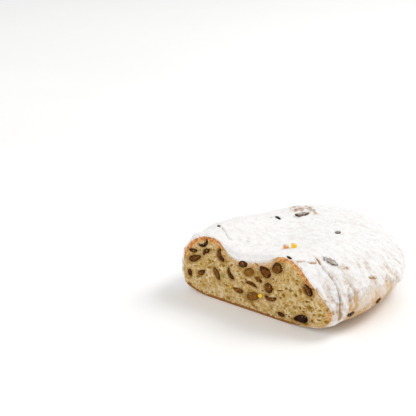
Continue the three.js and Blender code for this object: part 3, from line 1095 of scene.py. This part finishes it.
MIX_FIRST, MIX_SECOND, MIX_RESULT = 6, 7, 2  # the colour sockets of a Mix node


def colour(hex_code):
    """A linear colour from an sRGB hex value."""
    parts = [int(hex_code[i : i + 2], 16) / 255 for i in (1, 3, 5)]
    return [p / 12.92 if p <= 0.04045 else ((p + 0.055) / 1.055) ** 2.4 for p in parts] + [1]


def add(tree, kind, inputs=None, **settings):
    """Adds a node with its settings. An input is given a value, or the socket that feeds it."""
    made = tree.nodes.new(kind)
    for name, value in settings.items():
        setattr(made, name, value)
    for name, value in (inputs or {}).items():
        if isinstance(value, bpy.types.NodeSocket):
            tree.links.new(value, made.inputs[name])
        else:
            made.inputs[name].default_value = value
    return made


def new_material(name, **surface_values):
    """A material with a Principled surface, its node tree and its object coordinates."""
    material = bpy.data.materials.new(name)
    material.use_nodes = True
    tree = material.node_tree
    tree.nodes.clear()
    surface = add(tree, "ShaderNodeBsdfPrincipled")
    for label, value in surface_values.items():
        surface.inputs[label.replace("_", " ")].default_value = value
    add(tree, "ShaderNodeOutputMaterial", {"Surface": surface.outputs["BSDF"]})
    place = add(tree, "ShaderNodeTexCoord").outputs["Object"]
    return material, tree, surface, place


def uneven(tree, place, size, detail=3, share=0.0, strength=1.0):
    """A share made uneven by noise with features of that many millimetres."""
    inputs = {"Vector": place, "Scale": 1 / (size * MM), "Detail": detail, "Roughness": 0.6}
    inputs = {0: add(tree, "ShaderNodeTexNoise", inputs).outputs["Fac"], 1: strength, 2: share}
    return add(tree, "ShaderNodeMath", inputs, operation="MULTIPLY_ADD").outputs[0]


def turning(tree, share, low, high, below, above, most=1.0):
    """A colour that turns into another as a share goes from low to high. Each is a hex code or a
    socket, and most says how far the second goes."""
    inputs = {"Value": share, "From Min": low, "From Max": high, "To Max": most}
    part = add(tree, "ShaderNodeMapRange", inputs, interpolation_type="SMOOTHSTEP")
    ends = [colour(c) if isinstance(c, str) else c for c in (below, above)]
    inputs = {"Factor": part.outputs["Result"], MIX_FIRST: ends[0], MIX_SECOND: ends[1]}
    return add(tree, "ShaderNodeMix", inputs, data_type="RGBA").outputs[MIX_RESULT]


def finished(tree, place, surface, tint, *roughness):
    """Gives the surface its colour and its relief, coarse layers first: the size of the noise, how
    deep it goes, both in millimetres, and how strongly it shows."""
    tree.links.new(tint, surface.inputs["Base Color"])
    normal = None
    for size, deep, strength in roughness:
        inputs = {"Height": uneven(tree, place, size), "Distance": deep * MM, "Strength": strength}
        if normal:
            inputs["Normal"] = normal
        normal = add(tree, "ShaderNodeBump", inputs).outputs["Normal"]
    tree.links.new(normal, surface.inputs["Normal"])


def painted(tree, *labels):
    """The looks that a mesh carries at each point, under their names."""
    nodes = [add(tree, "ShaderNodeAttribute", attribute_name=label) for label in labels]
    return [node.outputs["Fac"] for node in nodes]


def dusted(tree, place, powder, under, veil="#dccfc3"):
    """Icing sugar over something: white where it is thick, a damp beige veil where it is thin, and
    broken into patches and grains before what is under it lies bare."""
    patchy = uneven(tree, place, 2.6, share=powder, strength=0.55)
    broken = uneven(tree, place, 0.8, share=patchy, strength=0.45)
    white = turning(tree, uneven(tree, place, 5, 4), 0.4, 0.7, "#f4f3f2", "#eae6e4")
    thin = turning(tree, broken, 1.02, 1.36, veil, white)
    return turning(tree, broken, 0.74, 1.0, under, thin)


def icing_sugar():
    """Icing sugar sifted over melted butter: chalky white, with no shine, beige where it is damp
    and thin, grey over a raisin and tan where the crust shows. Its grains of 0.02 mm are too fine
    to show, so its finest relief is drawn at 0.35 mm."""
    material, tree, surface, place = new_material(
        "icing_sugar_powder", Roughness=0.95, Specular_IOR_Level=0.15, Subsurface_Weight=0.2,
        Subsurface_Radius=(1.0, 0.9, 0.8), Subsurface_Scale=1.2 * MM,
    )
    bare, grey = painted(tree, "bare", "grey")
    powder = add(tree, "ShaderNodeMath", {0: 1.0, 1: bare}, operation="SUBTRACT").outputs[0]
    crust = turning(tree, uneven(tree, place, 2.0), 0.35, 0.65, "#caa985", "#aa8a6c")
    sugared = dusted(tree, place, powder, crust)
    blotted = uneven(tree, place, 1.6, share=grey, strength=0.8)
    greyed = turning(tree, blotted, 0.46, 1.3, sugared, "#85786f")
    finished(tree, place, surface, greyed, (1.5, 0.45, 0.45), (0.35, 0.1, 0.4))
    return material


def baked_dough():
    """Butter-rich yeast dough: a pale yellow, slightly moist crumb with painted shade in its pores
    and round its raisins, darker the deeper they go, browned to a matt golden crust outside and to
    a darker one underneath.
    The walls between its finest bubbles, of 0.1 mm, are too fine to show, so its relief is drawn at
    0.8 mm."""
    material, tree, surface, place = new_material(
        "baked_yeast_dough", Roughness=0.75, Specular_IOR_Level=0.25, Subsurface_Weight=0.18,
        Subsurface_Radius=(1.0, 0.7, 0.35), Subsurface_Scale=1.2 * MM,
    )
    crust, baked, pit_shade, stain, powder = painted(tree, "crust", "baked", "pit_shade", "stain", "powder")
    tissue = turning(tree, uneven(tree, place, 1.9, 5), 0.36, 0.63, "#e1cda8", "#c19b50")
    buttery = turning(tree, uneven(tree, place, 7), 0.42, 0.62, tissue, "#b8913c", 0.5)
    flecked = turning(tree, uneven(tree, place, 2.8, 2), 0.6, 0.66, buttery, "#98761d", 0.6)
    stained = turning(tree, stain, 0, 1, flecked, "#9a6f2c", 0.7)
    # Painted shade in the pores, holes and raisin pockets, by their depth: an olive tint where
    # shallow, near black where deep.
    shallow_pore_shade = turning(tree, pit_shade, 0.04, 0.4, stained, "#a57c10", 0.9)
    deep_pore_shade = turning(tree, pit_shade, 0.7, 1.15, shallow_pore_shade, "#482a06")
    golden = turning(tree, uneven(tree, place, 1.7, 4), 0.4, 0.58, "#eeb36c", "#b9743a")
    browner = turning(tree, baked, 0, 1, golden, "#956129")
    ragged = uneven(tree, place, 1.5, share=crust, strength=1.2)
    crusted = turning(tree, ragged, 0.85, 1.15, deep_pore_shade, browner)
    tan = turning(tree, powder, 0.05, 0.18, crusted, "#cda674")
    finished(tree, place, surface, dusted(tree, place, powder, tan, "#dfd0bf"), (0.8, 0.5, 0.5))
    return material


def dried_grape():
    """Raisin: a dark, wrinkled, slightly sticky skin, and amber to brown flesh where it is cut."""
    material, tree, surface, place = new_material(
        "dried_grape", Roughness=0.4, Specular_IOR_Level=0.08, Subsurface_Weight=0.12,
        Subsurface_Radius=(1.0, 0.4, 0.15), Subsurface_Scale=0.8 * MM,
    )
    dark, cut_open, powder = painted(tree, "dark", "flesh", "powder")
    pale_skin = turning(tree, dark, 0.0, 0.5, "#80561d", "#452409")
    skin = turning(tree, dark, 0.5, 1.0, pale_skin, "#170804")
    pale_flesh = turning(tree, dark, 0.0, 0.5, "#9c6a1e", "#834d14")
    flesh = turning(tree, dark, 0.5, 1.0, pale_flesh, "#391a0a")
    blotted = turning(tree, uneven(tree, place, 2.4), 0.47, 0.57, flesh, skin, 0.85)
    whole = turning(tree, cut_open, 0, 1, skin, blotted)
    finished(tree, place, surface, dusted(tree, place, powder, whole, "#a89b90"), (1.1, 0.6, 0.8))
    return material


def candied_peel(name, pale, deep):
    """Candied peel: glassy with sugar syrup, deeper in colour at its heart."""
    material, tree, surface, place = new_material(
        name, Roughness=0.35, Subsurface_Weight=0.35, Subsurface_Radius=(1.0, 0.7, 0.2),
        Subsurface_Scale=1.0 * MM,
    )
    [powder] = painted(tree, "powder")
    tint = turning(tree, uneven(tree, place, 1.2), 0.35, 0.65, pale, deep)
    finished(tree, place, surface, dusted(tree, place, powder, tint), (0.6, 0.25, 0.4))
    return material


def floor_paint():
    """Matt white studio board, faintly mottled and rough to the touch."""
    material, tree, surface, place = new_material("studio_board", Roughness=0.9)
    tint = turning(tree, uneven(tree, place, 300), 0.3, 0.7, "#ffffff", "#fdfdfd")
    finished(tree, place, surface, tint, (0.6, 0.02, 0.1))
    return material


# -------------------------------------------------------------------------------- crumbs and clumps

STREWN_INPUTS = {
    "Per Square Metre": "NodeSocketFloat",
    "Smallest": "NodeSocketFloat",
    "Largest": "NodeSocketFloat",
    "Unevenness": "NodeSocketFloat",
    "Seed": "NodeSocketInt",
    "Finish": "NodeSocketMaterial",
}


def strewn_tree():
    """Grains of uneven shape, strewn over a surface as its attribute "strewn" says."""
    tree = bpy.data.node_groups.new("strewn_grains", "GeometryNodeTree")
    tree.interface.new_socket("Geometry", in_out="INPUT", socket_type="NodeSocketGeometry")
    for label, kind in STREWN_INPUTS.items():
        tree.interface.new_socket(label, in_out="INPUT", socket_type=kind)
    tree.interface.new_socket("Geometry", in_out="OUTPUT", socket_type="NodeSocketGeometry")
    given = add(tree, "NodeGroupInput").outputs

    share = add(tree, "GeometryNodeInputNamedAttribute", {"Name": "strewn"}, data_type="FLOAT")
    density_inputs = {0: share.outputs["Attribute"], 1: given["Per Square Metre"]}
    density = add(tree, "ShaderNodeMath", density_inputs, operation="MULTIPLY")
    spread = {"Mesh": given["Geometry"], "Density": density.outputs[0], "Seed": given["Seed"]}
    spots = add(tree, "GeometryNodeDistributePointsOnFaces", spread, distribute_method="RANDOM")
    seed_grain = add(tree, "GeometryNodeMeshIcoSphere", {"Radius": 0.5, "Subdivisions": 1})
    drawn = []
    for kind, least, most in (
        ("FLOAT", given["Smallest"], given["Largest"]),
        ("FLOAT_VECTOR", (0.6, 0.6, 0.45), (1.3, 1.1, 0.9)),  # how long, wide and high it is
        ("FLOAT_VECTOR", (0, 0, 0), (0.6, 0.6, 6.28)),  # how it leans and turns, in radians
    ):
        limits = {"Min": least, "Max": most, "Seed": given["Seed"]}
        drawn.append(add(tree, "FunctionNodeRandomValue", limits, data_type=kind))
    size, stretch, turn = drawn
    scale_inputs = {0: stretch.outputs[0], "Scale": size.outputs[1]}
    scale = add(tree, "ShaderNodeVectorMath", scale_inputs, operation="SCALE")
    leaning = {"Rotation": spots.outputs["Rotation"], "Rotate By": turn.outputs[0]}
    rotation = add(tree, "FunctionNodeRotateRotation", leaning, rotation_space="LOCAL")
    placed = {
        "Points": spots.outputs["Points"],
        "Instance": seed_grain.outputs["Mesh"],
        "Rotation": rotation.outputs[0],
        "Scale": scale.outputs[0],
    }
    grains = add(tree, "GeometryNodeInstanceOnPoints", placed)
    solid = add(tree, "GeometryNodeRealizeInstances", {"Geometry": grains.outputs["Instances"]})
    lump = add(tree, "ShaderNodeTexNoise", {"Scale": 1 / (0.9 * MM), "Detail": 1.0})
    halves = {0: lump.outputs["Color"], 1: (0.5, 0.5, 0.5)}
    centred = add(tree, "ShaderNodeVectorMath", halves, operation="SUBTRACT")
    pushed = {0: centred.outputs[0], "Scale": given["Unevenness"]}
    offset = add(tree, "ShaderNodeVectorMath", pushed, operation="SCALE")
    moved = {"Geometry": solid.outputs["Geometry"], "Offset": offset.outputs[0]}
    rough = add(tree, "GeometryNodeSetPosition", moved)
    coated = {"Geometry": rough.outputs["Geometry"], "Material": given["Finish"]}
    finish = add(tree, "GeometryNodeSetMaterial", coated)
    add(tree, "NodeGroupOutput", {"Geometry": finish.outputs["Geometry"]})
    return tree


def strew(name, surface, tree, finish, slot, density, smallest, largest, unevenness, seed):
    """Bakes grains over a surface: its points, its faces and the share of grains at each point.
    The density is that of a whole share, in grains to a square metre."""
    values = {
        "Per Square Metre": density, "Smallest": smallest * MM, "Largest": largest * MM,
        "Unevenness": unevenness * MM, "Seed": seed, "Finish": finish,
    }
    points, faces, share = surface
    bed = shown(name + "_bed", new_mesh(name + "_bed", points, faces, {"strewn": share}))
    modifier = bed.modifiers.new("strewn", "NODES")
    modifier.node_group = tree
    for item in tree.interface.items_tree:
        if item.in_out == "INPUT" and item.name in values:
            modifier[item.identifier] = values[item.name]
    seen = bed.evaluated_get(bpy.context.evaluated_depsgraph_get())
    mesh = bpy.data.meshes.new_from_object(seen)
    bed.modifiers.remove(modifier)
    bpy.data.objects.remove(bed)
    mesh.name = name
    mesh.shade_smooth()
    new_piece(name, mesh, finish)


def sugar_surface():
    """Every third point of the sugar's outside, its faces, and how thickly clumps lie there."""
    points = thinned(SKIN + OUTWARD * (DEPTH - 0.05)[..., None])
    covered = thinned(DEPTH > SWELL + 0.3)
    patchy = smooth(clouds(points, 14, 3, 41.0), -0.4, 0.7)
    share = covered * (0.15 + patchy + 0.8 * right_flank(points))
    used = grid_numbers(*points.shape[:2])[-1, 0] + 1
    return points.reshape(-1, 3)[:used], skin_faces(points), share.ravel()[:used]


def face_surface():
    """A coarse copy of the cut face, its faces, and how far from its edge each point lies."""
    flat, edge = crumb_lattice(2.5)
    spots = np.concatenate([OUTLINE, flat])
    points = np.stack([spots[:, 0], np.full(len(spots), CUT + 0.12), spots[:, 1]], axis=1)
    faces = [tuple(t) for t in face_triangles(flat)]
    return points, faces, np.concatenate([np.zeros(len(OUTLINE)), edge])


# -------------------------------------------------------------------------------------------- build

dough_look = baked_dough()
sugar_look = icing_sugar()
raisin_look = dried_grape()

make_loaf(dough_look)
make_sugar_coat(sugar_look)
make_slivers(dough_look)
for number, (name, raisin) in enumerate(zip(RAISIN_NODES, CUT_RAISINS), 1):
    make_cut_raisin(number, raisin, name, raisin_look)
for number, (name, place, towards, size, bend, dark, powder) in enumerate(LOOSE_RAISINS, 1):
    make_loose_raisin(number, name, place, towards, size, bend, dark, powder, raisin_look)

lemon_look = candied_peel("candied_lemon_peel", "#ffdb2c", "#f6c318")
citron_look = candied_peel("candied_citron", "#aba242", "#7c7526")
orange_look = candied_peel("candied_orange_peel", "#f7b766", "#e09238")
make_peel("candied_lemon_bits", lemon_look, LEMON_BITS, LEMON_CUBE, powder=0.25)
make_peel("candied_citron_bits", citron_look, CITRON_BITS)
make_peel("candied_orange_bits", orange_look, ORANGE_BITS, ORANGE_CUBE, powder=0.62)

grains = strewn_tree()
points, faces, edge = face_surface()
x, _, z = points.T
fallen = valley(x, z) * bell(edge, 5) + 0.35 * smooth(x, 30, 55) * bell(edge, 4) + 0.03
under_bank = points, faces, fallen
whole_cut = points, faces, np.minimum(edge / 3, 1)

# What is strewn where: a name, the surface, the finish and its slot, the density, the smallest and
# the largest grain, how uneven the grains are, and the seed.
STREWN = [
    ("icing_sugar_clumps", sugar_surface(), sugar_look, "icing_sugar", 2.6e4, 0.5, 1.7, 0.5, 3),
    ("fallen_sugar", under_bank, sugar_look, "icing_sugar", 3.2e5, 0.3, 0.8, 0.3, 5),
    ("loose_crumbs", whole_cut, dough_look, "crumb", 5e4, 0.35, 1.1, 0.5, 7),
]
for name, surface, finish, slot, *measures in STREWN:
    strew(name, surface, grains, finish, slot, *measures)


# ----------------------------------------------------------------------------- stage, light, camera

FLOOR_HALF = 12000  # the floor reaches far past the view
FLOOR_GAP = 0.05  # and lies a hair under the loaf


def make_floor():
    """A wide flat floor, which isn't part of the loaf."""
    corners = np.array([(-1, -1, 0), (1, -1, 0), (1, 1, 0), (-1, 1, 0)]) * FLOOR_HALF
    mesh = new_mesh("floor", corners - (0, 0, FLOOR_GAP), [(0, 1, 2, 3)])
    mesh.materials.append(floor_paint())
    shown("floor", mesh)


def away_from_loaf(azimuth, elevation):
    """The way from the loaf to something that stands at those angles, in degrees."""
    a, e = math.radians(azimuth), math.radians(elevation)
    return Vector((math.sin(a) * math.cos(e), -math.cos(a) * math.cos(e), math.sin(e)))


def add_light(name, azimuth, elevation, distance, size, power, tint):
    """A square soft light aimed at the loaf, its distance and size in millimetres and its power
    in watts. Azimuth 0 stands before the cut, 90 at its right."""
    lamp = bpy.data.lights.new(name, "AREA")
    lamp.shape = "SQUARE"
    lamp.size = size * MM
    lamp.energy = power
    lamp.color = colour(tint)[:3]
    lit = shown(name, lamp)
    back = away_from_loaf(azimuth, elevation)
    lit.location = back * distance * MM + Vector((0, 0, 25 * MM))
    lit.rotation_mode = "QUATERNION"
    lit.rotation_quaternion = (-back).to_track_quat("-Z", "Y")


def light_scene():
    """An even white studio, with a soft key light behind the loaf and a weaker one before it."""
    world = bpy.data.worlds.new("studio")
    bpy.context.scene.world = world
    world.use_nodes = True
    backdrop = world.node_tree.nodes["Background"]
    backdrop.inputs["Color"].default_value = colour("#ffffff")
    backdrop.inputs["Strength"].default_value = 0.68
    add_light("key_light", 150, 50, distance=2600, size=1200, power=30, tint="#fffefc")
    add_light("fill_light", -10, 30, distance=2000, size=1400, power=7.5, tint="#fffdf8")
    bpy.context.scene.view_settings.view_transform = "Standard"


CAMERA_AZIMUTH, CAMERA_ELEVATION = 37.5, 21.0
LENS, SENSOR = 83.2, 36  # millimetres
CAMERA_BACK, CAMERA_LEFT, CAMERA_UP = 4.945, 0.538, 0.211  # in widths of the loaf


def aim_camera():
    """The camera looks past the loaf, which sits right of and below the middle of the view."""
    back = away_from_loaf(CAMERA_AZIMUTH, CAMERA_ELEVATION)
    turn = math.radians(CAMERA_AZIMUTH)
    right = Vector((math.cos(turn), math.sin(turn), 0))
    up = back.cross(right)
    width = CAD_BOX[1].x - CAD_BOX[0].x
    middle = (CAD_BOX[0] + CAD_BOX[1]) / 2
    lens = bpy.data.cameras.new("camera")
    lens.lens, lens.sensor_width = LENS, SENSOR
    camera = shown("camera", lens)
    camera.location = middle + width * (CAMERA_BACK * back - CAMERA_LEFT * right + CAMERA_UP * up)
    camera.rotation_mode = "QUATERNION"
    camera.rotation_quaternion = Matrix((right, up, back)).transposed().to_quaternion()
    bpy.context.scene.camera = camera


make_floor()
light_scene()
aim_camera()
